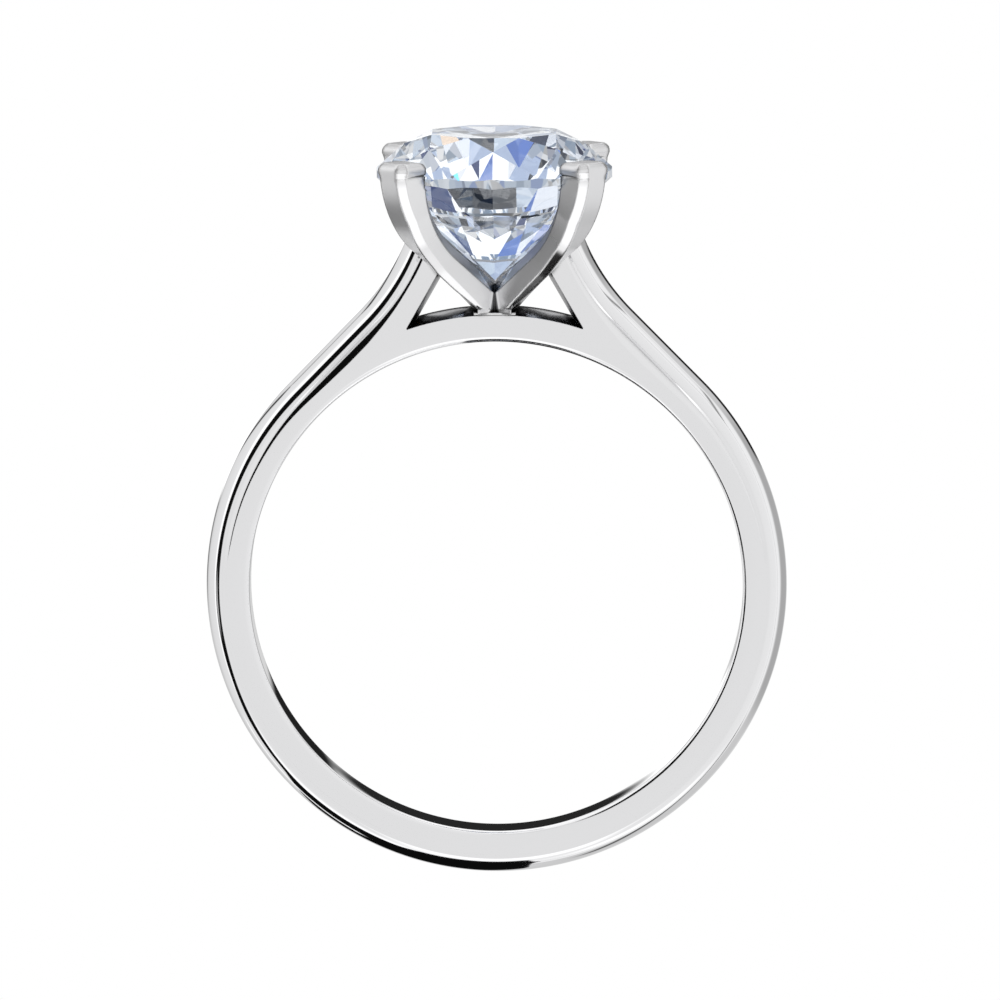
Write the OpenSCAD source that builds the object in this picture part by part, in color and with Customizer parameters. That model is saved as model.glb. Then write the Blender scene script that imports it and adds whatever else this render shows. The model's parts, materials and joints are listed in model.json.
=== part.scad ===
// Solitaire ring lying on its side, millimetres, +Z up from the surface it lies on.
// The head points to +Y and is propped by the edge of the stone, so the ring tilts a little.
// Ring frame inside the modules: X across, Y from the finger towards the stone, Z along the finger.

/* [Finger] */
// Inner diameter of the band
finger_d = 16.9; // [15.9:0.1:18.5]

/* [Band] */
// Width of the band along the finger
band_w = 2.2; // [2:0.05:2.6]
// Thickness of the band from the finger to its crown
band_t = 1.5; // [1.4:0.05:1.8]
// Rounding of the two inner edges
inner_round = 0.2; // [0.1:0.05:0.3]
// Height of the rounded outer side of the band
dome_h = 0.65; // [0.6:0.05:0.8]
// Rounding between the flat face and the dome
dome_round = 0.45; // [0.35:0.05:0.5]

/* [Shoulders] */
// Angle from the head at which the shoulder leaves the round band
sweep_angle = 45.6; // [43:0.2:48]
// Straight run of the shoulder before it curves up
sweep_run = 3.48; // [3.2:0.02:3.8]
// Radius of the hollow curve that ends at the claws
sweep_r = 7.5; // [6.5:0.1:9]
// Thickness of the bridge under the head
bridge_t = 1.15; // [1.05:0.05:1.3]
// Height of the low dome on the bridge
bridge_dome = 0.22; // [0.15:0.01:0.3]

/* [Stone] */
// Diameter of the round brilliant
stone_d = 8.06; // [7.9:0.02:8.2]
// Table width as a share of the diameter
table_share = 0.57; // [0.53:0.01:0.6]
// Crown height as a share of the diameter
crown_share = 0.15; // [0.13:0.005:0.16]
// Pavilion depth as a share of the diameter
pavilion_share = 0.44; // [0.43:0.005:0.445]
// Thickness of the girdle
girdle_t = 0.36; // [0.3:0.02:0.44]
// Height of the lower girdle edge above the finger axis
girdle_y = 14.01; // [13.9:0.02:14.1]

/* [Claws] */
// Width of a claw around the stone
claw_w = 1.27; // [1.1:0.01:1.35]
// Width of the tip that holds the stone
tip_w = 1.46; // [1.36:0.01:1.5]
// Chamfer along the two outer edges of a claw
claw_chamfer = 0.26; // [0.2:0.01:0.3]
// Height of the claw tips above the finger axis
claw_top = 14.82; // [14.76:0.01:14.9]
// Rounding of the claw tips
cap_round = 0.3; // [0.22:0.01:0.34]
// Clearance between stone and metal
seat_gap = 0.04; // [0.03:0.005:0.06]

/* [Hidden] */
$fn = 96;

bore_r = finger_d / 2;
crown_r = bore_r + band_t;

// Outer side of the band: a large arc that meets the corner roundings smoothly, cut by the flat faces.
face_z = band_w / 2 - 0.01;
edge_r = crown_r - dome_h;
edge_z = band_w / 2 - dome_round;
crease_r = edge_r + sqrt(pow(dome_round, 2) - pow(face_z - edge_z, 2));
dome_big = (pow(dome_h, 2) + pow(band_w / 2, 2) - band_w * dome_round) / (2 * (dome_h - dome_round));
dome_turn = atan2(edge_z, dome_big - dome_h);
core_r = edge_r - 0.1;

bridge_big = (pow(bridge_dome, 2) + pow(face_z, 2)) / (2 * bridge_dome);

// The brilliant, heights from its lower girdle edge.
facets = 8;
step = 360 / facets;
stone_r = stone_d / 2;
table_r = table_share * stone_r;
crown_h = crown_share * stone_d;
pavilion_h = pavilion_share * stone_d;
star_r = (table_r * cos(step / 2) + stone_r) / 2;
star_rise = crown_h * (stone_r - star_r * cos(step / 2)) / (stone_r - table_r);
low_r = 0.23 * stone_r;
low_fall = pavilion_h * (1 - low_r * cos(step / 2) / stone_r);

// Rest pose: the lower girdle edge and the rear crease of the band touch the surface.
tilt = atan2(stone_r - face_z, girdle_y + crease_r);
lift = stone_r * cos(tilt) - girdle_y * sin(tilt);
head_end = (girdle_y + girdle_t + crown_h) * cos(tilt) + table_r * cos(step / 2) * sin(tilt);
band_end = (crown_r - dome_big) * cos(tilt) + dome_big;
slide = (band_end - head_end) / 2;

// Window beside the head and inner end of a shoulder, seen along the finger.
window_tip = [3.02, 8.93];
window_top = [2.0, 10.72];
shoulder_in = [1.78, 11.15];
shoulder_top = [2.2, 11.86];
shoulder_tip = [3.05, 11.92];
sweep_out = [sin(sweep_angle), cos(sweep_angle)];
sweep_up = [-sweep_out.y, sweep_out.x];
sweep_c = (crown_r + sweep_r) * sweep_out + sweep_run * sweep_up;

// Side profile of a claw, x from the stone's axis: an arc above a straight foot, outside and inside.
claw_arc_y = 14.8;
claw_out_x = 1.23;
claw_out_r = 3.84;
claw_out_turn = 52.4;
claw_in_x = 0.34;
claw_in_r = 3.52;
claw_in_turn = 49;
claw_foot = -0.35;
nib_y = 13.9;
tip_foot = 14;
tip_in = 3.85;
tip_out = 5.1;
tip_corner_in = 2.27;
tip_corner = 3.9;
tip_neck = claw_out_x + sqrt(pow(claw_out_r, 2) - pow(claw_arc_y - tip_foot, 2));

module place() translate([0, slide, lift]) rotate([tilt, 0, 0]) children();

// Outer side of the metal in section: crown at x = 0, body towards -x.
module dome_profile(depth) {
    far = 2 * dome_big;
    translate([-depth, -band_w / 2]) square([depth - dome_h, band_w]);
    translate([-depth, -edge_z]) square([depth - dome_h + dome_round / 2, 2 * edge_z]);
    for (s = [-1, 1]) translate([-dome_h, s * edge_z]) circle(dome_round);
    intersection() {
        translate([-dome_big, 0]) circle(dome_big);
        translate([-dome_big, 0]) polygon([[0, 0], far * [cos(dome_turn), -sin(dome_turn)],
            far * [cos(dome_turn), sin(dome_turn)]]);
    }
}

// Finger side of the band and of the bridge, with rounded edges.
module core() {
    w = face_z - inner_round;
    rotate_extrude() {
        translate([bore_r, -w]) square([core_r - bore_r, 2 * w]);
        translate([bore_r + inner_round, -face_z]) square([core_r - bore_r - inner_round, 2 * face_z]);
        for (s = [-1, 1]) translate([bore_r + inner_round, s * w]) circle(inner_round);
    }
}

// From the bottom of the ring to the foot of a shoulder.
module half_band() {
    rotate([0, 0, -90]) rotate_extrude(angle = 180 - sweep_angle) intersection() {
        translate([crown_r, 0]) dome_profile(crown_r - core_r + 0.2);
        translate([core_r - 0.2, -face_z]) square([crown_r, 2 * face_z]);
    }
}

module bridge() {
    span = 26;
    rotate([0, 0, 90 - span]) rotate_extrude(angle = 2 * span) intersection() {
        translate([core_r - 0.3, -face_z]) square([1, 2 * face_z]);
        translate([bore_r + bridge_t - bridge_big, 0]) circle(bridge_big);
    }
}

// What stays clear outside a shoulder: its section follows a straight run and an arc.
module sweep_profile() {
    difference() {
        translate([2, -band_w]) square([sweep_r + dome_h - 2, 2 * band_w]);
        translate([sweep_r, 0]) mirror([1, 0]) dome_profile(2);
    }
}

module shoulder() {
    foot_r = core_r - 0.2;
    turn = 75;
    difference() {
        translate([0, 0, -face_z]) linear_extrude(2 * face_z)
            polygon([foot_r * sweep_out, (crown_r + 1) * sweep_out, [6.2, 11.2], shoulder_tip,
                     shoulder_top, shoulder_in, window_top, window_tip,
                     window_tip * foot_r / norm(window_tip)]);
        translate([sweep_c.x, sweep_c.y, 0]) {
            rotate([0, 0, 270 - sweep_angle - turn]) rotate_extrude(angle = turn) sweep_profile();
            rotate([0, 0, 270 - sweep_angle]) rotate([90, 0, 0]) translate([0, 0, -sweep_run - 1])
                linear_extrude(sweep_run + 1) sweep_profile();
        }
    }
}

module claw_section() {
    h = claw_w / 2;
    c = claw_chamfer;
    polygon([[1, -h], [claw_out_r - c, -h], [claw_out_r, c - h], [claw_out_r, h - c],
             [claw_out_r - c, h], [1, h]]);
}

module claw_bar() {
    translate([claw_out_x, claw_arc_y, 0]) {
        rotate([0, 0, -claw_out_turn]) rotate_extrude(angle = claw_out_turn + 8) claw_section();
        rotate([0, 0, -claw_out_turn]) rotate([90, 0, 0]) linear_extrude(9) claw_section();
    }
}

// Space between a claw and the stone's axis: it steps in above nib_y, where the tip grips the stone.
module claw_hollow() {
    translate([claw_in_x, claw_arc_y, -2]) {
        intersection() {
            cylinder(r = claw_in_r, h = 4);
            translate([-9, -9, 0]) cube([20, 9 + nib_y - claw_arc_y, 4]);
        }
        rotate([0, 0, -claw_in_turn]) translate([-9, -9, 0]) cube([9 + claw_in_r, 9, 4]);
    }
    translate([-5, nib_y, -2]) cube([5 + tip_in, 3, 4]);
}

// Outline of a tip between a and b: its sides flare out upwards and its top corners are rounded.
module tip_profile(a, b, flare_a, flare_b) {
    r = cap_round;
    wide = claw_top - r;
    translate([0, 0, -6]) linear_extrude(12) intersection() {
        translate([a, tip_foot]) square([b - a, claw_top - tip_foot]);
        union() {
            polygon([[a + flare_a, tip_foot], [b - flare_b, tip_foot], [b, wide], [a, wide]]);
            translate([a + r, wide - 0.1]) square([b - a - 2 * r, r + 0.2]);
            for (x = [a + 0.97 * r, b - 0.97 * r]) translate([x, claw_top - 0.97 * r]) circle(r);
        }
    }
}

// Tip pressed over the stone: rounded across, along and over its four corners.
module claw_tip() {
    side = (tip_w - claw_w) / 2;
    corner = tip_corner - (tip_neck + claw_w / 2 - claw_chamfer) / sqrt(2);
    intersection() {
        tip_profile(tip_in, tip_out, 0, tip_out - tip_neck);
        rotate([0, 90, 0]) tip_profile(-tip_w / 2, tip_w / 2, side, side);
        rotate([0, 45, 0]) tip_profile(tip_corner_in, tip_corner, 0, corner);
        rotate([0, -45, 0]) tip_profile(tip_corner_in, tip_corner, 0, corner);
    }
}

module claw() {
    difference() {
        union() {
            intersection() {
                claw_bar();
                translate([claw_foot, 8, -2]) cube([8, tip_foot + 0.05 - 8, 4]);
            }
            claw_tip();
        }
        claw_hollow();
    }
}

// Foot under the claws, with a groove where two of them meet.
module head_foot() {
    groove = claw_w / sqrt(2);
    z = face_z - 0.06;
    x = 0.56;
    rotate([90, 0, 0]) translate([0, 0, -9.62]) linear_extrude(0.6)
        polygon([[0, groove], [z - groove, z], [x, z], [x, -z], [z - groove, -z], [0, -groove],
                 [groove - z, -z], [-x, -z], [-x, z], [groove - z, z]]);
}

// Room for the stone: cones round its facets, grown by the clearance.
module stone_room() {
    g = seat_gap;
    top = girdle_y + girdle_t;
    rotate([-90, 0, 0]) rotate_extrude() polygon([
        [0, girdle_y - pavilion_h - 1.4 * g], [low_r + g, girdle_y - low_fall - g / 2],
        [stone_r + g, girdle_y - g / 3], [stone_r + g, top + g / 3],
        [star_r + g / 2, top + star_rise + g], [table_r + g / 2, top + crown_h + g],
        [0, top + crown_h + g]]);
}

module mounting() color([0.82, 0.82, 0.84]) place() difference() {
    union() {
        core();
        bridge();
        for (m = [0, 1]) mirror([m, 0, 0]) {
            half_band();
            shoulder();
        }
        head_foot();
        for (a = [45:90:315]) rotate([0, a, 0]) claw();
    }
    stone_room();
    translate([0, 0, -3]) cylinder(r = bore_r, h = 6);
}

// The round brilliant, its lower girdle edge at z = 0 and its table up.
module brilliant() {
    n = facets;
    rim_r = stone_r + 0.1;
    rim_up = girdle_t - star_rise * (rim_r - stone_r) / (stone_r - star_r);
    rim_low = low_fall * (rim_r - stone_r) / (stone_r - low_r);
    // Rows of eight points: radius, height, angle of the first.
    rows = [[table_r, girdle_t + crown_h, step / 2], [star_r, girdle_t + star_rise, 0],
            [stone_r, girdle_t, step / 2], [rim_r, rim_up, 0], [rim_r, rim_up, step / 2],
            [rim_r, rim_low, 0], [rim_r, rim_low, step / 2], [stone_r, 0, step / 2],
            [low_r, -low_fall, 0]];
    points = concat([for (row = rows, k = [0:n - 1]) [row[0] * cos(row[2] + k * step),
        row[0] * sin(row[2] + k * step), row[1]]], [[0, 0, -pavilion_h]]);
    function at(row, k) = n * row + k % n;
    culet = n * len(rows);
    faces = concat([[for (k = [n - 1:-1:0]) k]], [for (k = [0:n - 1]) each [
        [at(0, k + 1), at(1, k + 1), at(0, k)],
        [at(0, k), at(1, k + 1), at(2, k), at(1, k)],
        [at(2, k), at(4, k), at(3, k), at(1, k)],
        [at(1, k + 1), at(3, k + 1), at(4, k), at(2, k)],
        [at(3, k), at(4, k), at(6, k), at(5, k)],
        [at(4, k), at(3, k + 1), at(5, k + 1), at(6, k)],
        [at(8, k), at(5, k), at(6, k), at(7, k)],
        [at(7, k), at(6, k), at(5, k + 1), at(8, k + 1)],
        [culet, at(8, k), at(7, k), at(8, k + 1)]]]);
    intersection() {
        polyhedron(points, faces);
        translate([0, 0, -pavilion_h - 1]) cylinder(r = stone_r, h = pavilion_h + crown_h + 2);
    }
}

module stone() color([0.8, 0.88, 0.98, 0.6]) place()
    translate([0, girdle_y, 0]) rotate([-90, 0, 0]) brilliant();

mounting();
stone();
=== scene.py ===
"""The solitaire ring's looks: camera, pale studio, polished white gold and a cut diamond."""

import functools
import json
import math

import bmesh
import bpy
import numpy as np
from mathutils import Matrix, Vector


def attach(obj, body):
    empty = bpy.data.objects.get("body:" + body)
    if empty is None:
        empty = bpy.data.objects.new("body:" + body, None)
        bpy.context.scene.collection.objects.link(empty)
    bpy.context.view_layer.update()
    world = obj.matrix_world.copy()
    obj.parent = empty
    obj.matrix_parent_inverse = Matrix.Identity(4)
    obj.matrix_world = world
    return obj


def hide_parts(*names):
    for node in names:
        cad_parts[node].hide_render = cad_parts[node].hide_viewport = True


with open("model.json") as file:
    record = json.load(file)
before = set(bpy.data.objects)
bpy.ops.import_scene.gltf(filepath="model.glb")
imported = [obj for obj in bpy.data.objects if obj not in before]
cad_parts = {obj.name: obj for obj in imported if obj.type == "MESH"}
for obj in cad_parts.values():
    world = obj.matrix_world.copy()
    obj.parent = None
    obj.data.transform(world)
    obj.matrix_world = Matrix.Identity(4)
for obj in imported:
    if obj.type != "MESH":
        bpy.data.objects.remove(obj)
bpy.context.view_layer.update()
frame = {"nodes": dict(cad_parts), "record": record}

MM = 0.001

# The photograph's camera, fitted on the bore, the claws and the stone.
IMAGE_PX = 1000
PX_PER_MM = 29.15
RING_PX = Vector((496.7, 583.3))
DISTANCE = 700 * MM
ELEVATION = math.radians(7.3)
YAW = math.radians(1.0)
ROLL = math.radians(0.32)

# The ring as it lies: its finger axis, the way to its head, and its middle.
mount = frame["record"]["mounts"][0]
FINGER_AXIS = Vector(mount["axis"]).normalized()
HEAD_WAY = FINGER_AXIS.cross(Vector((1, 0, 0))).normalized()
RING_CENTRE = Vector(mount["pos_m"])
SHARP_ANGLE = 14

# Sizes of the metal in millimetres, in the ring's own frame: X across, Y to the head, Z along the finger.
BORE_R = mount["dims"]["r_mm"]
BAND_T = 1.5
BAND_W = 2.2
CROWN_R = BORE_R + BAND_T
FACE_Z = 1.09
INNER_ROUND = 0.2
DOME_H = 0.65
DOME_ROUND = 0.45
EDGE_Z = BAND_W / 2 - DOME_ROUND
DOME_BIG = (DOME_H ** 2 + BAND_W ** 2 / 4 - BAND_W * DOME_ROUND) / (2 * (DOME_H - DOME_ROUND))
DOME_TURN = math.degrees(math.atan2(EDGE_Z, DOME_BIG - DOME_H))
# The plain core lies this far under the crown, and what is joined to it reaches into it by the overlap.
CORE_DEPTH = 0.93
CORE_OVERLAP = 0.12
CORE_R = CROWN_R - CORE_DEPTH
FOOT_R = CORE_R - CORE_OVERLAP

BRIDGE_T = 1.15
BRIDGE_DOME = 0.22
BRIDGE_SPAN = 26

SWEEP_ANGLE = 45.6
SWEEP_RUN = 3.48
SWEEP_R = 7.5
SWEEP_TURN = 75
# The shoulder's cutter: how far out it reaches, how far it starts before the shoulder, and its mouth's flare.
SWEEP_FAR = SWEEP_R - 2
SWEEP_LEAD = 1
SWEEP_FLARE = (-0.3, 0.15)
WINDOW_TIP = (3.02, 8.93)
SHOULDER_END = ((6.2, 11.2), (3.05, 11.92), (2.2, 11.86), (1.78, 11.15), (2.0, 10.72))

STONE_R = 4.03
GIRDLE_Y = 14.01
GIRDLE_T = 0.36
TABLE_R = 0.57 * STONE_R
CROWN_H = 0.15 * 2 * STONE_R
PAVILION_H = 0.44 * 2 * STONE_R
HALF_STEP = math.radians(22.5)
STAR_R = (TABLE_R * math.cos(HALF_STEP) + STONE_R) / 2
STAR_RISE = CROWN_H * (STONE_R - STAR_R * math.cos(HALF_STEP)) / (STONE_R - TABLE_R)
LOW_R = 0.23 * STONE_R
LOW_FALL = PAVILION_H * (1 - LOW_R * math.cos(HALF_STEP) / STONE_R)
SEAT_GAP = 0.04

CLAW_W = 1.27
CLAW_ARC_Y = 14.8
CLAW_OUT_X, CLAW_OUT_R, CLAW_OUT_TURN = 1.23, 3.84, 52.4
# A claw's inner side, an arc and the straight run under it: its centre's X and Y, radius and turn, in the
# middle of the claw and at the edges of the sloped lip.
CLAW_BOWL = np.array((0.6, 14.32, 3.02, 54))
CLAW_EDGE = np.array((0.5, 14.29, 3.4, 54))
CLAW_LIP_W = 0.3
CLAW_SIDE_TILT = 8
CLAW_FOOT, CLAW_FOOT_Y = -0.35, 9.47
FOOT_X = 0.57
FOOT_SINK, FOOT_RISE = 0.03, 0.15
SEAM_X, SEAM_Y, SEAM_Z = 0.72, 9.38, 1.13
# A claw's outer side by run along it, from the stone's crown down to the foot: how wide its chamfers are,
# and how far its front and its back edge move out. The claws' feet turn, so that the front pair forms a V.
CLAW_CHAMFER = ((0, 0.25), (3.5, 0.23), (5.3, 0.2), (6.2, 0.14), (7.2, 0.05))
CLAW_FRONT = ((2.2, 0), (3.2, 0.19), (3.5, 0.24), (4.4, 0.366), (5.3, 0.37), (6.3, 0.335), (7.2, 0.32))
CLAW_BACK = ((3.4, 0), (4.4, -0.06), (6.5, -0.09))
CLAW_RUN = 9
CLAW_TURN_TOP = 8
# A claw's section starts this far from the middle of its arc, the bar runs this far up into the tip, and the
# shapes that trim them reach this far out and to each side.
CLAW_CORE_X = 1
CLAW_TIP_OVERLAP = 0.05
CLAW_PAST_X, CLAW_PAST_Z = 8, 2
WALL_BULGE = 0.19
NIB_Y = 13.9
NIB_W, NIB_H = 5, 3
TIP_W = 1.44
TIP_FOOT, TIP_FULL, TIP_TOP = 14.36, 14.56, 14.86
TIP_IN, TIP_OUT = 3.85, 5.09
TIP_CORNER_IN, TIP_CORNER = 2.27, 3.91
TIP_ROUND = 0.3
TIP_ROUND_SHARE = 0.97
TIP_REACH = 6
TIP_NECK = CLAW_OUT_X + math.sqrt(CLAW_OUT_R ** 2 - (CLAW_ARC_Y - TIP_FOOT) ** 2)

# A shallow groove runs along the outer side of the face. Its width follows the way along the crown,
# which is 0 where a shoulder leaves the band and grows towards the head.
GROOVE_OUT = ((-8, -0.69), (-6.5, -0.7), (-3, -0.74), (0, -0.72), (8, -0.72))
GROOVE_WIDTH = ((-6.8, 0.001), (-6, 0.04), (-3, 0.08), (-1, 0.13), (0, 0.18), (1, 0.23), (2, 0.27),
                (3, 0.27), (4, 0.18), (5, 0.12), (7, 0.1))
GROOVE_SLOPE = ((-7, 0.6), (-3, 0.5), (0, 0.42), (3, 0.4), (4, 0.44), (7, 0.5))
GROOVE_END = -0.59
CREASE_TURN = 4


def arc(centre, radius, start, end, steps):
    """Points along an arc in a plane, from start to end in degrees."""
    turns = np.radians(np.linspace(start, end, steps + 1))
    return np.column_stack((centre[0] + radius * np.cos(turns), centre[1] + radius * np.sin(turns)))


def solid(points, faces):
    """A closed mesh object with its faces turned outwards."""
    mesh = bpy.data.meshes.new("part")
    mesh.from_pydata(np.asarray(points, float).tolist(), [], faces)
    shape = bmesh.new()
    shape.from_mesh(mesh)
    bmesh.ops.remove_doubles(shape, verts=shape.verts, dist=1e-6)
    if shape.calc_volume(signed=True) < 0:
        bmesh.ops.reverse_faces(shape, faces=shape.faces)
    shape.to_mesh(mesh)
    shape.free()
    piece = bpy.data.objects.new("part", mesh)
    bpy.context.scene.collection.objects.link(piece)
    return piece


def swept(rings, closes=False):
    """A solid through rings of points. Its ends are capped unless it closes on itself."""
    rings = np.asarray(rings)
    count, size = rings.shape[:2]
    faces = []
    for i in range(count if closes else count - 1):
        a, b = i * size, (i + 1) % count * size
        faces += [(a + j, a + (j + 1) % size, b + (j + 1) % size, b + j) for j in range(size)]
    if not closes:
        faces += [tuple(range(size))[::-1], tuple(range((count - 1) * size, count * size))]
    return solid(rings.reshape(-1, 3), faces)


def prism(outline, low, high):
    """A flat outline in X and Y, made solid between two heights along Z."""
    outline = np.asarray(outline, float)
    return swept([np.column_stack((outline, np.full(len(outline), z))) for z in (low, high)])


def lathe(section, start=0, end=360, steps=240):
    """A section of (radius, z) turned round Z, from start to end in degrees."""
    section = np.asarray(section)
    full = end - start >= 360
    turns = np.radians(np.linspace(start, end, steps + 1)[:steps if full else None])
    rings = [np.column_stack((section[:, 0] * math.cos(a), section[:, 0] * math.sin(a), section[:, 1]))
             for a in turns]
    return swept(rings, full)


def combine(operation, first, *others):
    """Joins, cuts or intersects the first piece with the others, which are used up."""
    for other in others:
        cut = first.modifiers.new("cut", "BOOLEAN")
        cut.operation, cut.solver, cut.object = operation, "MANIFOLD", other
    graph = bpy.context.evaluated_depsgraph_get()
    mesh = bpy.data.meshes.new_from_object(first.evaluated_get(graph))
    first.modifiers.clear()
    old, first.data = first.data, mesh
    bpy.data.meshes.remove(old)
    for other in others:
        bpy.data.objects.remove(other)
    return first


def turned(piece, axis, degrees):
    piece.data.transform(Matrix.Rotation(math.radians(degrees), 4, axis))
    return piece


def mirrored(piece, axis):
    piece.data.transform(Matrix.Scale(-1, 4, axis))
    piece.data.flip_normals()
    return piece


def copied(piece):
    twin = bpy.data.objects.new("part", piece.data.copy())
    bpy.context.scene.collection.objects.link(twin)
    return twin


def outer_line(way):
    """The metal's outer side in section, from face to face over the dome, as (offset from crown, z)."""
    width, out, slope = (np.interp(way, *zip(*line)) for line in (GROOVE_WIDTH, GROOVE_OUT, GROOVE_SLOPE))
    depth = slope * width
    rise = GROOVE_END - out
    across = np.array((-width, -0.92 * width, -0.5 * width, -0.08 * width, 0, 0.15 * rise, 0.5 * rise,
                       0.85 * rise, rise))
    down = depth * np.array((0, 0.04, 0.5, 0.96, 1, 0.93, 0.5, 0.07, 0))
    groove = np.column_stack((out + across, FACE_Z - down))
    meet = math.degrees(math.acos((FACE_Z - EDGE_Z) / DOME_ROUND)) + CREASE_TURN
    joined = (-DOME_H + DOME_ROUND * math.sin(math.radians(meet)),
              EDGE_Z + DOME_ROUND * math.cos(math.radians(meet)))
    fall = FACE_Z - joined[1]
    length = 2 * fall / math.tan(math.radians(meet))
    share = np.linspace(0, 1, 7)
    fillet = np.column_stack((joined[0] - length * (1 - share), FACE_Z - fall * share ** 2))
    corner = arc((-DOME_H, EDGE_Z), DOME_ROUND, 90 - meet, DOME_TURN, 14)
    half = np.vstack((groove, fillet, corner[1:]))
    dome = arc((-DOME_BIG, 0), DOME_BIG, DOME_TURN, -DOME_TURN, 28)
    return np.vstack((half, dome[1:-1], half[::-1] * (1, -1)))


def around(angle, line):
    """A line of (radius, z) placed at this angle from the head, towards +X."""
    turn = math.radians(angle)
    return np.column_stack((line[:, 0] * math.sin(turn), line[:, 0] * math.cos(turn), line[:, 1]))


def core():
    high = FACE_Z - INNER_ROUND
    corner = arc((BORE_R + INNER_ROUND, high), INNER_ROUND, 180, 90, 10)
    section = np.vstack((corner, ((CORE_R, FACE_Z), (CORE_R, -FACE_Z)), corner[::-1] * (1, -1)))
    return lathe(section, steps=360)


def band():
    """The round of the band, from one shoulder's foot to the other's."""
    rings = []
    for angle in np.linspace(SWEEP_ANGLE, 360 - SWEEP_ANGLE, 271):
        down = min(angle, 360 - angle) - SWEEP_ANGLE
        line = outer_line(-math.radians(down) * CROWN_R) + (CROWN_R, 0)
        line = np.vstack(((FOOT_R, FACE_Z), line, (FOOT_R, -FACE_Z)))
        rings.append(around(angle, line))
    return swept(rings)


def bridge():
    big = (BRIDGE_DOME ** 2 + FACE_Z ** 2) / (2 * BRIDGE_DOME)
    turn = math.degrees(math.asin(FACE_Z / big))
    top = arc((BORE_R + BRIDGE_T - big, 0), big, turn, -turn, 16)
    section = np.vstack(((FOOT_R, FACE_Z), top, (FOOT_R, -FACE_Z)))
    return lathe(section, 90 - BRIDGE_SPAN, 90 + BRIDGE_SPAN, 60)


def shoulder(side):
    """One shoulder: a plate whose outer side is cut along a straight run and an arc."""
    out = np.array((math.sin(math.radians(SWEEP_ANGLE)), math.cos(math.radians(SWEEP_ANGLE))))
    along = np.array((-out[1], out[0]))
    tip = np.array(WINDOW_TIP)
    outline = np.array([FOOT_R * out, (CROWN_R + 1) * out, *SHOULDER_END, tip,
                        tip * FOOT_R / np.linalg.norm(tip)])
    wall = tip - SHOULDER_END[-1]
    inward = np.array((wall[1], -wall[0])) / np.linalg.norm(wall)
    plate = []
    for z in np.linspace(-FACE_Z, FACE_Z, 17):
        bulged = outline.copy()
        bulged[-3:] += WALL_BULGE * (1 - (z / FACE_Z) ** 2) * inward
        plate.append(np.column_stack((bulged * (side, 1), np.full(len(bulged), z))))
    plate = swept(plate)
    centre = CROWN_R * out + SWEEP_RUN * along + SWEEP_R * out
    stations = [(max(run, 0), CROWN_R * out + run * along, out)
                for run in np.linspace(-SWEEP_LEAD, SWEEP_RUN, 19)]
    for turn in np.radians(np.linspace(0, SWEEP_TURN, 51)[1:]):
        outward = out * math.cos(turn) - along * math.sin(turn)
        stations.append((SWEEP_RUN + turn * SWEEP_R, centre - SWEEP_R * outward, outward))
    rings = []
    for way, crown, outward in stations:
        line = outer_line(way)
        start = line[0] + SWEEP_FLARE
        line = np.vstack((start, line, start * (1, -1), (SWEEP_FAR, -BAND_W), (SWEEP_FAR, BAND_W)))
        flat = crown + line[:, :1] * outward
        rings.append(np.column_stack((flat[:, 0] * side, flat[:, 1], line[:, 1])))
    return combine("DIFFERENCE", plate, swept(rings))


def tip_outline(a, b, flare_a, flare_b):
    """A tip's outline between a and b, its sides flaring upwards and its top corners rounded."""
    inset = TIP_ROUND_SHARE * TIP_ROUND
    cut = math.degrees(math.acos(TIP_ROUND_SHARE))
    right = arc((b - inset, TIP_TOP - inset), TIP_ROUND, cut, 90 - cut, 12)
    left = arc((a + inset, TIP_TOP - inset), TIP_ROUND, 90 + cut, 180 - cut, 12)
    return np.vstack(((a + flare_a, TIP_FOOT), (b - flare_b, TIP_FOOT), (b, TIP_FULL), right, left,
                      (a, TIP_FULL)))


def claw_tip():
    side = (TIP_W - CLAW_W) / 2
    corner = TIP_CORNER - (TIP_NECK + CLAW_W / 2 - CLAW_CHAMFER[0][1]) / math.sqrt(2)
    along = tip_outline(TIP_IN, TIP_OUT, 0, TIP_OUT - TIP_NECK)
    across = tip_outline(-TIP_W / 2, TIP_W / 2, side, side)
    diagonal = tip_outline(TIP_CORNER_IN, TIP_CORNER, 0, corner)
    return combine("INTERSECT", *(turned(prism(outline, -TIP_REACH, TIP_REACH), "Y", degrees)
                                  for outline, degrees in ((along, 0), (across, 90), (diagonal, 45),
                                                           (diagonal, -45))))


def bowl_outline(x, y, radius, turn):
    """The claws' inner side: an arc and a straight run past the axis."""
    level = math.degrees(math.asin((NIB_Y - y) / radius))
    side = arc((x, y), radius, level, -turn, 40)
    end = side[-1] - CLAW_RUN * np.array((math.sin(math.radians(turn)), math.cos(math.radians(turn))))
    return np.vstack((side, end, (-CLAW_RUN, NIB_Y)))


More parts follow.
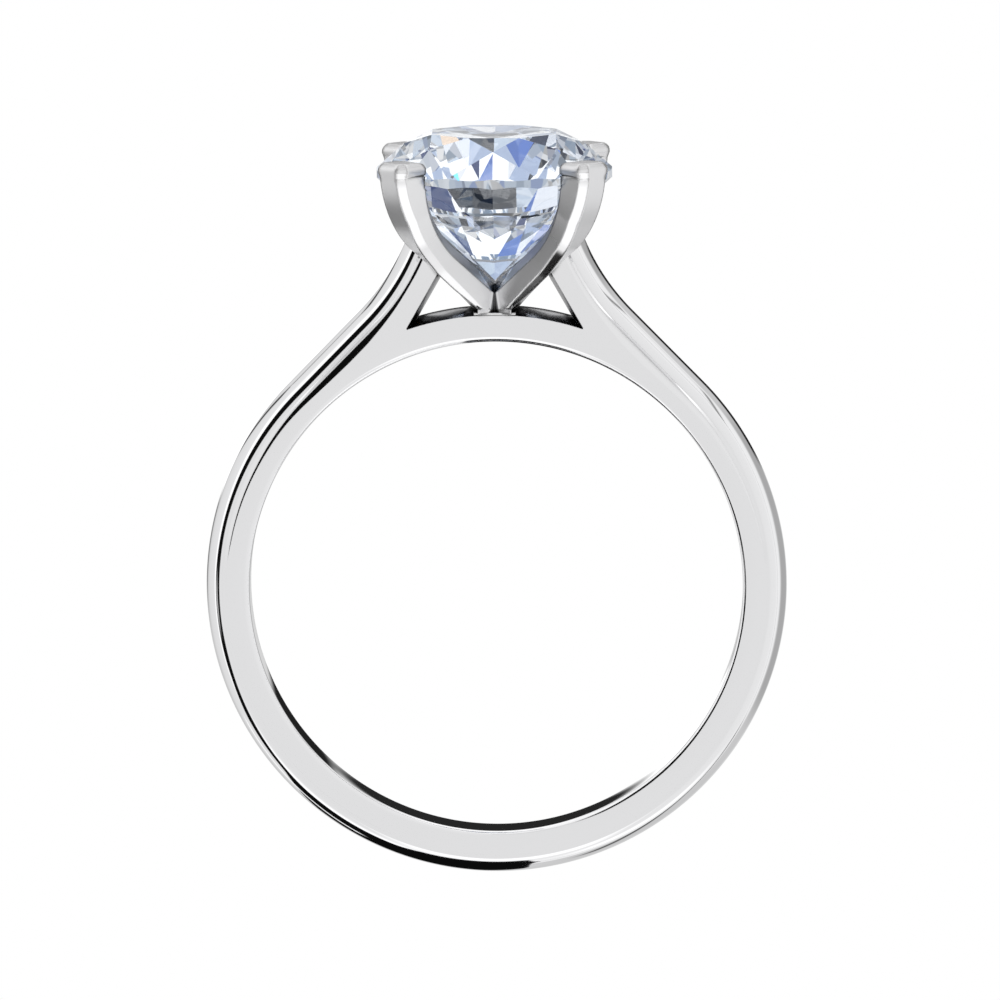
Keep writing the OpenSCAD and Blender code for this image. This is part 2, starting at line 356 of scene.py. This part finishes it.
def claw():
    """One claw in its own frame: X away from the stone's axis, Z towards the front of the ring."""
    h = CLAW_W / 2
    down = np.array((math.sin(math.radians(CLAW_OUT_TURN)), math.cos(math.radians(CLAW_OUT_TURN)), 0))
    stations = [(angle, 0) for angle in np.linspace(CLAW_TURN_TOP, -CLAW_OUT_TURN, 61)]
    stations += [(-CLAW_OUT_TURN, run) for run in (*np.linspace(0, 4, 21)[1:], CLAW_RUN)]
    rings = []
    for angle, straight in stations:
        run = straight - math.radians(angle) * CLAW_OUT_R
        c, front, back = (np.interp(run, *zip(*line)) for line in (CLAW_CHAMFER, CLAW_FRONT, CLAW_BACK))
        front, back = CLAW_OUT_R + front, CLAW_OUT_R + back
        wide = math.tan(math.radians(CLAW_SIDE_TILT))
        deep_back, deep_front = back - c - CLAW_CORE_X, front - c - CLAW_CORE_X
        section = np.array(((CLAW_CORE_X, -h - deep_back * wide), (back - c, -h), (back, c - h),
                            (front, h - c), (front - c, h), (CLAW_CORE_X, h + deep_front * wide)))
        way = np.array((math.cos(math.radians(angle)), math.sin(math.radians(angle))))
        flat = np.array((CLAW_OUT_X, CLAW_ARC_Y)) + section[:, :1] * way
        rings.append(np.column_stack((flat, section[:, 1])) - straight * down)
    top = TIP_FOOT + CLAW_TIP_OVERLAP
    limits = ((CLAW_FOOT, CLAW_FOOT_Y), (CLAW_PAST_X, CLAW_FOOT_Y), (CLAW_PAST_X, top), (CLAW_FOOT, top))
    bar = combine("INTERSECT", swept(rings), prism(limits, -CLAW_PAST_Z, CLAW_PAST_Z))
    bar = combine("UNION", bar, claw_tip())
    bowl = []
    for z in (-CLAW_PAST_Z, CLAW_LIP_W - h, h - CLAW_LIP_W, CLAW_PAST_Z):
        share = (abs(z) + CLAW_LIP_W - h) / CLAW_LIP_W
        outline = bowl_outline(*(CLAW_BOWL + share * (CLAW_EDGE - CLAW_BOWL)))
        bowl.append(np.column_stack((outline, np.full(len(outline), z))))
    bowl = swept(bowl)
    nib = prism(((-NIB_W, NIB_Y), (TIP_IN, NIB_Y), (TIP_IN, NIB_Y + NIB_H), (-NIB_W, NIB_Y + NIB_H)),
                -CLAW_PAST_Z, CLAW_PAST_Z)
    return combine("DIFFERENCE", bar, bowl, nib)


def head_foot():
    """The block under the claws. Its two grooves carry on the Vs of the claws' sides, down to a seam."""
    groove = CLAW_W / math.sqrt(2)
    half = ((0, groove), (FOOT_X, groove + FOOT_X), (FOOT_X, -groove - FOOT_X), (0, -groove))
    outline = np.vstack((half, (-FOOT_X, -groove - FOOT_X), (-FOOT_X, groove + FOOT_X)))
    foot = prism(outline, -CLAW_FOOT_Y - FOOT_RISE, -CLAW_FOOT_Y + FOOT_SINK)
    seam = prism(((-SEAM_X, -SEAM_Z), (SEAM_X, -SEAM_Z), (SEAM_X, SEAM_Z), (-SEAM_X, SEAM_Z)),
                 -CLAW_FOOT_Y, -SEAM_Y)
    return turned(combine("UNION", foot, seam), "X", 90)


def stone_room():
    g, top = SEAT_GAP, GIRDLE_Y + GIRDLE_T
    section = ((0.0, GIRDLE_Y - PAVILION_H - 1.4 * g), (LOW_R + g, GIRDLE_Y - LOW_FALL - g / 2),
               (STONE_R + g, GIRDLE_Y - g / 3), (STONE_R + g, top + g / 3),
               (STAR_R + g / 2, top + STAR_RISE + g), (TABLE_R + g / 2, top + CROWN_H + g),
               (0.0, top + CROWN_H + g))
    return turned(lathe(section, steps=180), "X", -90)


def mounting():
    whole = core()
    bar = claw()
    claws = [turned(bar, "Y", -45)]
    claws.append(mirrored(copied(bar), (1, 0, 0)))
    claws += [mirrored(copied(one), (0, 0, 1)) for one in claws]
    whole = combine("UNION", whole, bridge(), band(), shoulder(1), shoulder(-1), head_foot(), *claws)
    return combine("DIFFERENCE", whole, stone_room())


def drop_slivers(mesh):
    """Keeps the largest closed shell. Joining the pieces leaves a few slivers of two or three faces."""
    shape = bmesh.new()
    shape.from_mesh(mesh)
    loose, shells = set(shape.faces), []
    while loose:
        shell = [loose.pop()]
        for face in shell:
            near = {other for edge in face.edges for other in edge.link_faces} & loose
            loose -= near
            shell += near
        shells.append(shell)
    shells.sort(key=len)
    bmesh.ops.delete(shape, geom=[face for shell in shells[:-1] for face in shell], context="FACES")
    shape.to_mesh(mesh)
    shape.free()


def polished_metal():
    """The whole mounting as one fine mesh, placed as the ring lies, in metres."""
    metal = mounting()
    drop_slivers(metal.data)
    basis = Matrix((Vector((1, 0, 0)), HEAD_WAY, FINGER_AXIS)).transposed()
    metal.data.transform(Matrix.Translation(RING_CENTRE) @ basis.to_4x4() @ Matrix.Scale(MM, 4))
    metal.name = metal.data.name = "mounting_metal"
    for face in metal.data.polygons:
        face.use_smooth = True
    metal.data.set_sharp_from_angle(angle=math.radians(SHARP_ANGLE))
    weigh = metal.modifiers.new("weigh", "WEIGHTED_NORMAL")
    weigh.keep_sharp = True
    metal.data.materials.clear()
    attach(metal, "root")
    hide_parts("mounting")
    return metal


def make_camera():
    """A long lens almost in line with the finger axis, as in the photograph."""
    towards = FINGER_AXIS * math.cos(ELEVATION) + HEAD_WAY * math.sin(ELEVATION)
    towards = Matrix.Rotation(YAW, 3, HEAD_WAY) @ towards
    right = HEAD_WAY.cross(towards).normalized()
    up = towards.cross(right).normalized()
    turn = Matrix.Rotation(-ROLL, 3, towards)
    right, up = turn @ right, turn @ up
    middle = IMAGE_PX / 2
    shift_right = (middle - RING_PX.x) / PX_PER_MM * MM
    shift_up = (RING_PX.y - middle) / PX_PER_MM * MM
    target = RING_CENTRE + right * shift_right + up * shift_up
    place = RING_CENTRE + towards * DISTANCE
    back = (place - target).normalized()
    right = up.cross(back).normalized()
    up = back.cross(right)
    data = bpy.data.cameras.new("camera")
    data.sensor_width = 36
    data.lens = data.sensor_width * DISTANCE * PX_PER_MM / (IMAGE_PX * MM)
    data.clip_start, data.clip_end = 0.01, 20
    camera = bpy.data.objects.new("camera", data)
    basis = Matrix((right, up, back)).transposed()
    camera.matrix_world = Matrix.Translation(place) @ basis.to_4x4()
    bpy.context.scene.collection.objects.link(camera)
    bpy.context.scene.camera = camera


class Tree:
    """Adds nodes to a tree. Any input takes a number, a colour or another node's output."""

    def __init__(self, tree):
        self.tree = tree
        tree.nodes.clear()

    def add(self, kind, inputs=(), output=0, **settings):
        """A new node with these settings; inputs go by name or number. Returns one of its outputs."""
        node = self.tree.nodes.new(kind)
        for name, value in settings.items():
            setattr(node, name, value)
        for name, value in dict(inputs).items():
            if isinstance(value, bpy.types.NodeSocket):
                self.tree.links.new(value, node.inputs[name])
            else:
                node.inputs[name].default_value = value
        return node.outputs[output] if len(node.outputs) else node

    def math(self, operation, *values, clamp=False):
        return self.add("ShaderNodeMath", enumerate(values), operation=operation, use_clamp=clamp)

    def step(self, value, start, end):
        """0 below start and 1 above end, with a smooth rise between."""
        return self.add("ShaderNodeMapRange", {"Value": value, "From Min": start, "From Max": end},
                        interpolation_type="SMOOTHSTEP")

    def ramp(self, value, stops, low, high):
        """A curve through stops, each (place, level), over places from low to high."""
        place = self.add("ShaderNodeMapRange", {"Value": value, "From Min": low, "From Max": high})
        node = self.tree.nodes.new("ShaderNodeValToRGB")
        self.tree.links.new(place, node.inputs[0])
        steps = node.color_ramp
        steps.interpolation = "LINEAR"
        while len(steps.elements) > 1:
            steps.elements.remove(steps.elements[-1])
        for i, (at, level) in enumerate(stops):
            spot = (at - low) / (high - low)
            if i:
                element = steps.elements.new(spot)
            else:
                element = steps.elements[0]
                element.position = spot
            element.color = (level, level, level, 1)
        return self.add("ShaderNodeSeparateColor", {0: node.outputs[0]})

    def mix(self, share, a, b):
        return self.add("ShaderNodeMix", {0: share, 2: a, 3: b}, data_type="FLOAT")

    def blend(self, share, a, b):
        """As mix, for colours."""
        return self.add("ShaderNodeMix", {0: share, 6: a, 7: b}, 2, data_type="RGBA")


# The studio by direction. Polar angles run from straight up, 0, to straight down, 180 degrees.
# Bearings run from the image's foot, 0, over its left side, 90, to its top, 180; the right side is negative.
LEFT_LIGHT = ((0, 0.8), (14, 0.78), (30, 0.8), (60, 0.82), (80, 1.2), (98, 1.2), (108, 0.84),
              (140, 0.76), (155, 0.6), (180, 0.6))
RIGHT_LIGHT = ((0, 0.8), (14, 0.82), (40, 0.84), (80, 0.86), (100, 0.95), (118, 0.9), (124, 0.62),
               (150, 0.6), (165, 0.7), (180, 0.7))
# The gap between the lights: for a bearing, the polar angle where it starts and where it ends.
DARK_FROM = ((-6, 100), (-4, 66), (6, 66), (14, 72), (19, 87), (40, 93), (50, 80), (62, 56),
             (88, 50), (100, 40), (112, 28), (125, 26), (140, 26), (155, 40))
DARK_TO = ((-6, 101), (-4, 150), (6, 162), (40, 158), (47, 118), (58, 113), (64, 94), (88, 88),
           (100, 80), (125, 72), (140, 68), (155, 41))
DARK_LEVEL = 0.004
DARK_SOFT = 2.5
SIDE_BLEND = 0.25
# Cards: bearing, polar angle, half width, half height, turn and softness in degrees, and brightness.
CARDS = {
    "white at the foot": (0, 45, 17, 18, 0, 5, 1.15),
    "streak through the low gap": (44, 136, 16, 2.2, -8, 1.5, 1.1),
    "grey floor on the left": (98, 162, 12, 9, 0, 6, 0.22),
    "white floor at the upper left": (132, 166, 26, 12, 0, 3, 1.2),
    "dark line at the upper left": (123, 139, 15, 2.5, -62, 2, 0.03),
    "grey floor on the right": (-92, 143, 32, 20, 0, 6, 0.42),
    "black floor at the upper right": (-128, 166, 13, 19, 0, 3, 0.015),
    "thin line at the upper right": (-126, 107, 10, 1.5, -62, 1.5, 0.25),
    "white at the lower right": (-27, 88, 14, 12, 0, 8, 1.2),
    "dark streak at the lower right": (-35, 121, 26, 3, 41, 3, 0.05),
    "grey beyond the right claw": (78, 78, 5, 6, 0, 3, 0.5),
}
# Spots: bearing, polar angle, radius and softness in degrees, and brightness. The metal mirrors them, but
# the stone's sharper outer reflections leave them out, and are dimmed by a share except near straight down.
SPOTS = {
    "white beyond the head": (180, 95, 30, 4, 1.1),
    "white floor beyond the head": (180, 138, 18, 3, 1.1),
    "black floor at the top": (179, 165, 9.5, 1.5, 0.02),
}
STONE_SHADE = 0.6
STONE_SHADE_FROM, STONE_SHADE_FULL = 158, 150


def card(t, light, bearing, polar, b, p, half_b, half_p, turn, soft, level):
    """Lays a soft-edged rectangle over the light."""
    c, s = math.cos(math.radians(turn)), math.sin(math.radians(turn))
    across, down = t.math("SUBTRACT", bearing, b), t.math("SUBTRACT", polar, p)
    u = t.math("ABSOLUTE", t.math("ADD", t.math("MULTIPLY", across, c), t.math("MULTIPLY", down, s)))
    v = t.math("ABSOLUTE", t.math("SUBTRACT", t.math("MULTIPLY", down, c), t.math("MULTIPLY", across, s)))
    inside = t.math("MULTIPLY", t.step(u, half_b + soft, half_b - soft),
                    t.step(v, half_p + soft, half_p - soft))
    return t.mix(inside, light, level)


def toward(t, direction, b, p, radius, soft):
    """1 within a disc of directions, with a soft edge."""
    b, p = math.radians(b), math.radians(p)
    centre = (-math.sin(b) * math.sin(p), -math.cos(b) * math.sin(p), math.cos(p))
    near = t.add("ShaderNodeVectorMath", {0: direction, 1: centre}, "Value", operation="DOT_PRODUCT")
    return t.step(near, math.cos(math.radians(radius + soft)), math.cos(math.radians(radius - soft)))


# What a diamond gathers from the studio: each tint starts at its share of the directions.
TINTS = {
    "white": (1.5, 1.52, 1.55),
    "pale": (1.15, 1.2, 1.3),
    "ice": (0.8, 0.92, 1.08),
    "sky": (0.58, 0.7, 0.95),
    "steel": (0.32, 0.42, 0.56),
    "blue": (0.15, 0.27, 0.74),
    "night": (0.04, 0.07, 0.22),
    "black": (0.015, 0.022, 0.035),
}
SPARKLE = ((0.0, "white"), (0.24, "ice"), (0.4, "pale"), (0.6, "steel"), (0.68, "sky"), (0.8, "blue"),
           (0.87, "night"), (0.94, "black"))
# The pattern's scale over the directions, and where it starts.
SPARKLE_SCALE = 1.6
SPARKLE_SHIFT = (9.7, 0.6, 3.3)
# Larger patches: bearing, polar angle and radius in degrees, and tint.
PATCHES = (
    (-128, 144, 9, "black"), (178, 163, 9, "black"), (-16, 35, 5, "night"), (114, 33, 7, "night"),
    (-104, 153, 8, "night"), (76, 50, 8, "night"), (127, 25, 5, "steel"), (1, 47, 8, "steel"),
    (-127, 112, 8, "sky"), (-147, 60, 15, "sky"), (121, 57, 12, "sky"), (130, 139, 9, "ice"),
    (-178, 106, 9, "ice"), (129, 121, 6, "ice"), (-133, 123, 5, "ice"), (101, 151, 9, "pale"),
    (-117, 166, 5, "white"), (30, 178, 6, "white"), (-143, 98, 6, "white"),
)
PATCH_SOFT = 0.5
# Glints of colour, as a diamond's fire.
FIRE = {
    "cyan": (-92, 50, 5, (0.15, 1.2, 1.7)),
    "orange": (-118, 62, 4, (1.8, 0.6, 0.12)),
    "yellow": (-40, 118, 5, (1.5, 1.2, 0.25)),
    "green": (48, 112, 5, (0.45, 1.0, 0.4)),
    "red": (104, 66, 4, (1.6, 0.2, 0.15)),
    "cream": (-76, 40, 6, (1.5, 1.2, 0.95)),
}
DIAMOND = (0.96, 0.98, 1.0, 1)
DIAMOND_IOR = 2.42
# A ray that has turned this often inside the stone meets the glow, painted light that stands in for the
# later turns, and whose tints follow the facets' normals at this scale.
INNER_TURNS = 3
PAINTED_GLOW = 0.3
FACET_SCALE = 7.0


def shades(t, place, scale):
    """One of the tints for each cell of space, by the cell's own chance value."""
    cells = t.add("ShaderNodeTexVoronoi", {"Vector": place, "Scale": scale}, "Color")
    share = t.add("ShaderNodeSeparateColor", {0: cells})
    node = t.tree.nodes.new("ShaderNodeValToRGB")
    t.tree.links.new(share, node.inputs[0])
    steps = node.color_ramp
    steps.interpolation = "CONSTANT"
    for i, (at, tint) in enumerate(SPARKLE):
        element = steps.elements[i] if i < 2 else steps.elements.new(at)
        element.position = at
        element.color = (*TINTS[tint], 1)
    return node.outputs[0]


def sparkle(t, direction):
    """What the stone's facets pick up one by one from the studio."""
    place = t.add("ShaderNodeVectorMath", {0: direction, 1: SPARKLE_SHIFT}, operation="ADD")
    light = shades(t, place, SPARKLE_SCALE)
    patches = [(b, p, radius, TINTS[tint]) for b, p, radius, tint in PATCHES]
    for b, p, radius, colour in (*patches, *FIRE.values()):
        light = t.blend(toward(t, direction, b, p, radius, PATCH_SOFT), light, (*colour, 1))
    return light


def make_studio():
    """Pale light from all round, with a dark gap low on the left and at the foot of the image."""
    world = bpy.data.worlds.new("studio")
    world.use_nodes = True
    bpy.context.scene.world = world
    t = Tree(world.node_tree)
    direction = t.add("ShaderNodeTexCoord")
    x, y, z = t.add("ShaderNodeSeparateXYZ", {0: direction}).node.outputs
    degree = 180 / math.pi
    polar = t.math("MULTIPLY", t.math("ARCCOSINE", z), degree)
    back_x, back_y = t.math("MULTIPLY", x, -1.0), t.math("MULTIPLY", y, -1.0)
    bearing = t.math("MULTIPLY", t.math("ARCTAN2", back_x, back_y), degree)
    left = t.ramp(polar, LEFT_LIGHT, 0, 180)
    right = t.ramp(polar, RIGHT_LIGHT, 0, 180)
    light = t.mix(t.step(x, SIDE_BLEND, -SIDE_BLEND), right, left)
    edges = [t.math("MULTIPLY", t.ramp(bearing, [(b, p / 180) for b, p in line], -180, 180), 180.0)
             for line in (DARK_FROM, DARK_TO)]
    inside = t.math("MULTIPLY", *(t.step(polar, t.math("SUBTRACT", edge, way), t.math("ADD", edge, way))
                                  for edge, way in zip(edges, (DARK_SOFT, -DARK_SOFT))))
    light = t.mix(inside, light, DARK_LEVEL)
    for values in CARDS.values():
        light = card(t, light, bearing, polar, *values)
    sharp = t.add("ShaderNodeLightPath", output="Is Singular Ray")
    for *disc, level in SPOTS.values():
        share = t.math("MULTIPLY", toward(t, direction, *disc), t.math("SUBTRACT", 1.0, sharp))
        light = t.mix(share, light, level)
    dim = t.math("MULTIPLY", sharp, t.step(polar, STONE_SHADE_FROM, STONE_SHADE_FULL))
    dim = t.math("MULTIPLY", dim, STONE_SHADE)
    light = t.math("MULTIPLY", light, t.math("SUBTRACT", 1.0, dim))
    light = t.mix(t.add("ShaderNodeLightPath", output="Is Camera Ray"), light, 1.0)
    through = t.math("GREATER_THAN", t.add("ShaderNodeLightPath", output="Transmission Depth"), 0.5)
    light = t.blend(through, light, sparkle(t, direction))
    background = t.add("ShaderNodeBackground", {"Color": light, "Strength": 1.0})
    t.add("ShaderNodeOutputWorld", {0: background})


# The white gold's colour, then how rough it is, how much painted shade darkens its zones, how round its edges
# are in millimetres, its faint waves, and the painted shade in its seams and the painted dark reflection
# along its rims. The values of a zone come on top of those of the whole.
GOLD = (0.92, 0.92, 0.93)
POLISH, SATIN, SATIN_DEEP = 0.05, 0.28, 0.15
CLAWS_PAINTED_SHADE, INSIDE_PAINTED_SHADE, WINDOWS_PAINTED_SHADE = 0.1, 0.36, 0.62
EDGE_ROUND, CLAWS_ROUNDER, CAPS_ROUNDER = 0.03, 0.07, 0.12
WAVES_SCALE, WAVES_DETAIL, WAVES_STRENGTH, WAVES_HEIGHT = 260.0, 2.0, 0.04, 0.0002
SEAM_REACH, SEAM_OPEN, SEAM_SHUT, SEAM_PAINTED_SHADE = 0.3, 0.85, 0.5, 0.85
RIM_FROM, RIM_FULL, RIM_PAINTED_DARK = 0.02, 0.08, 0.8
# The zones' limits: in millimetres, where each one starts and where it is full. A window's outer side leans
# in by this share of its height.
CLAWS_UP = (9.3, 9.5)
CLAWS_OFF_FACE = (FACE_Z + 0.01, FACE_Z + 0.06)
CLAWS_ALONE_UP = (11.8, 12.2)
CAPS_UP = (14.15, 14.35)
WINDOW_OFF_FACE = (FACE_Z - 0.01, FACE_Z - 0.03)
WINDOW_RADIUS = (BORE_R + 0.3, BORE_R + 0.4)
WINDOW_LOW, WINDOW_HIGH = (8, 8.2), (11.2, 11)
WINDOW_LEAN, WINDOW_WIDE = 0.55, (8.15, 8.05)
# As cosines: how squarely a face looks along the finger axis, and how squarely it looks away from the middle.
SIDE_FACING = (0.83, 0.76)
INNER_FACING = (0.05, -0.1)


def finish_zones(t, place):
    """The metal's zones as masks, for its roughness and its painted shade: claws, their sides, their inner
    sides, windows and caps.
    """
    def within(value, limits):
        return t.step(value, *(limit * MM for limit in limits))

    def along(vector, axis):
        return t.add("ShaderNodeVectorMath", {0: vector, 1: axis}, "Value", operation="DOT_PRODUCT")

    def length(a, b):
        return t.math("SQRT", t.math("ADD", t.math("MULTIPLY", a, a), t.math("MULTIPLY", b, b)))

    normal = t.add("ShaderNodeTexCoord", output="Normal")
    x = t.add("ShaderNodeSeparateXYZ", {0: place})
    normal_x = t.add("ShaderNodeSeparateXYZ", {0: normal})
    up = t.math("SUBTRACT", along(place, HEAD_WAY), HEAD_WAY.dot(RING_CENTRE))
    off = t.math("SUBTRACT", along(place, FINGER_AXIS), FINGER_AXIS.dot(RING_CENTRE))
    towards = along(normal, FINGER_AXIS)
    off_face = t.math("ABSOLUTE", off)
    side = t.step(t.math("ABSOLUTE", towards), *SIDE_FACING)
    claws = t.math("MULTIPLY", within(up, CLAWS_UP), within(off_face, CLAWS_OFF_FACE))
    claws = t.math("MAXIMUM", claws, within(up, CLAWS_ALONE_UP))
    # The claws' sides: a rougher finish, and painted shade that darkens their colour.
    satin_and_shade = t.math("MULTIPLY", claws, side)
    outward = t.math("ADD", t.math("MULTIPLY", normal_x, x), t.math("MULTIPLY", towards, off))
    outward = t.math("DIVIDE", outward, length(x, off))
    # The claws' inner sides, which get more painted shade in their colour.
    inside = t.math("MULTIPLY", satin_and_shade, t.step(outward, *INNER_FACING))
    # The windows' walls, which get painted shade in their colour.
    leaning = t.math("ADD", t.math("ABSOLUTE", x), t.math("MULTIPLY", up, WINDOW_LEAN))
    windows = (side, within(off_face, WINDOW_OFF_FACE), within(length(x, up), WINDOW_RADIUS),
               within(leaning, WINDOW_WIDE), within(up, WINDOW_LOW), within(up, WINDOW_HIGH))
    windows = functools.reduce(functools.partial(t.math, "MULTIPLY"), windows)
    return claws, satin_and_shade, inside, windows, within(up, CAPS_UP)


def polished_gold():
    """White gold with a mirror polish, the faint waves that polishing leaves, and painted shade in its
    colour.
    """
    material = bpy.data.materials.new("polished_white_gold")
    material.use_nodes = True
    t = Tree(material.node_tree)

    def total(first, *terms):
        """A number plus each mask by its own share."""
        for mask, share in terms:
            first = t.math("ADD", first, t.math("MULTIPLY", mask, share))
        return first

    place = t.add("ShaderNodeTexCoord", output="Object")
    waves = t.add("ShaderNodeTexNoise", {"Vector": place, "Scale": WAVES_SCALE, "Detail": WAVES_DETAIL})
    claws, satin_and_shade, inside, windows, caps = finish_zones(t, place)
    # Painted shade: the colour darkens where ambient occlusion finds a seam or crease.
    open_share = t.add("ShaderNodeAmbientOcclusion", {"Distance": SEAM_REACH * MM}, "AO", samples=8,
                       only_local=True)
    painted_seam_shade = t.step(open_share, SEAM_OPEN, SEAM_SHUT)
    rounding = total(EDGE_ROUND * MM, (claws, CLAWS_ROUNDER * MM), (caps, CAPS_ROUNDER * MM))
    rounded = t.add("ShaderNodeBevel", {"Radius": rounding}, samples=6)
    # Along an edge the rounded surface turns away from the viewer, to the dark behind: a thin dark line,
    # which is a painted reflection in the metal's colour.
    away = t.math("SUBTRACT", t.add("ShaderNodeLayerWeight", {"Blend": 0.5, "Normal": rounded}, "Facing"),
                  t.add("ShaderNodeLayerWeight", {"Blend": 0.5}, "Facing"))
    rim_painted_reflection = t.step(away, RIM_FROM, RIM_FULL)
    bump = t.add("ShaderNodeBump", {"Height": waves, "Strength": WAVES_STRENGTH, "Distance": WAVES_HEIGHT,
                                    "Normal": rounded})
    rough = total(POLISH, (satin_and_shade, SATIN), (t.math("MAXIMUM", inside, windows), SATIN_DEEP))
    # Painted shade: the claws' sides, their inner sides and the windows' walls are darkened in the colour.
    fall = total(0.0, (satin_and_shade, CLAWS_PAINTED_SHADE), (inside, INSIDE_PAINTED_SHADE), (windows, WINDOWS_PAINTED_SHADE))
    # The painted seam shade and the painted dark rim reflections, taken off the colour.
    painted_dark_lines = t.math("MAXIMUM", t.math("MULTIPLY", painted_seam_shade, SEAM_PAINTED_SHADE), t.math("MULTIPLY", rim_painted_reflection, RIM_PAINTED_DARK))
    unpainted_share = t.math("SUBTRACT", 1.0, painted_dark_lines)
    colour = [t.math("MULTIPLY", t.math("SUBTRACT", base, fall, clamp=True), unpainted_share) for base in GOLD]
    colour = t.add("ShaderNodeCombineColor", enumerate(colour))
    shader = t.add("ShaderNodeBsdfPrincipled",
                   {"Base Color": colour, "Metallic": 1.0, "Roughness": rough, "Normal": bump})
    t.add("ShaderNodeOutputMaterial", {"Surface": shader})
    return material


def cut_diamond():
    """A clear stone with diamond's refraction. A ray that has turned inside it a few times meets a faint
    painted glow, in each facet's own tint, which stands in for the light of all the turns that would follow."""
    material = bpy.data.materials.new("cut_diamond")
    material.use_nodes = True
    t = Tree(material.node_tree)
    # Painted light: an emission in the stone, standing in for its deeper inner reflections.
    turns = t.add("ShaderNodeLightPath", output="Glossy Depth")
    inner = t.math("GREATER_THAN", t.add("ShaderNodeLightPath", output="Transmission Depth"), 0.5)
    last = t.math("MULTIPLY", t.math("GREATER_THAN", turns, INNER_TURNS - 0.5), inner)
    glow = t.math("MULTIPLY", last, t.add("ShaderNodeFresnel", {0: DIAMOND_IOR}))
    glow = t.math("MULTIPLY", glow, PAINTED_GLOW)
    shade = shades(t, t.add("ShaderNodeTexCoord", output="Normal"), FACET_SCALE)
    shader = t.add("ShaderNodeBsdfPrincipled",
                   {"Base Color": DIAMOND, "Roughness": 0.0, "IOR": DIAMOND_IOR,
                    "Transmission Weight": 1.0, "Emission Color": shade, "Emission Strength": glow})
    t.add("ShaderNodeOutputMaterial", {"Surface": shader})
    return material


FLOOR_HALF = 1.5


def make_floor():
    """A wide pale floor at the height where the ring rests."""
    mesh = bpy.data.meshes.new("floor")
    corners = [(x * FLOOR_HALF, y * FLOOR_HALF, 0) for x, y in ((-1, -1), (1, -1), (1, 1), (-1, 1))]
    mesh.from_pydata(corners, [], [(0, 1, 2, 3)])
    floor = bpy.data.objects.new("floor", mesh)
    bpy.context.scene.collection.objects.link(floor)
    material = bpy.data.materials.new("pale_floor")
    material.use_nodes = True
    t = Tree(material.node_tree)
    t.add("ShaderNodeOutputMaterial",
          {"Surface": t.add("ShaderNodeEmission", {"Color": (1, 1, 1, 1), "Strength": 1.0})})
    mesh.materials.append(material)
    floor.visible_glossy = floor.visible_transmission = floor.visible_diffuse = False


def dress(node, material):
    mesh = frame["nodes"][node].data
    mesh.materials.clear()
    mesh.materials.append(material)
    for face in mesh.polygons:
        face.material_index = 0


make_camera()
make_studio()
make_floor()
metal = polished_metal()
metal.data.materials.append(polished_gold())
dress("stone", cut_diamond())

scene = bpy.context.scene
scene.view_settings.view_transform = "Standard"
scene.cycles.max_bounces = 32
scene.cycles.transmission_bounces = 24
scene.cycles.glossy_bounces = INNER_TURNS
scene.cycles.use_denoising = True
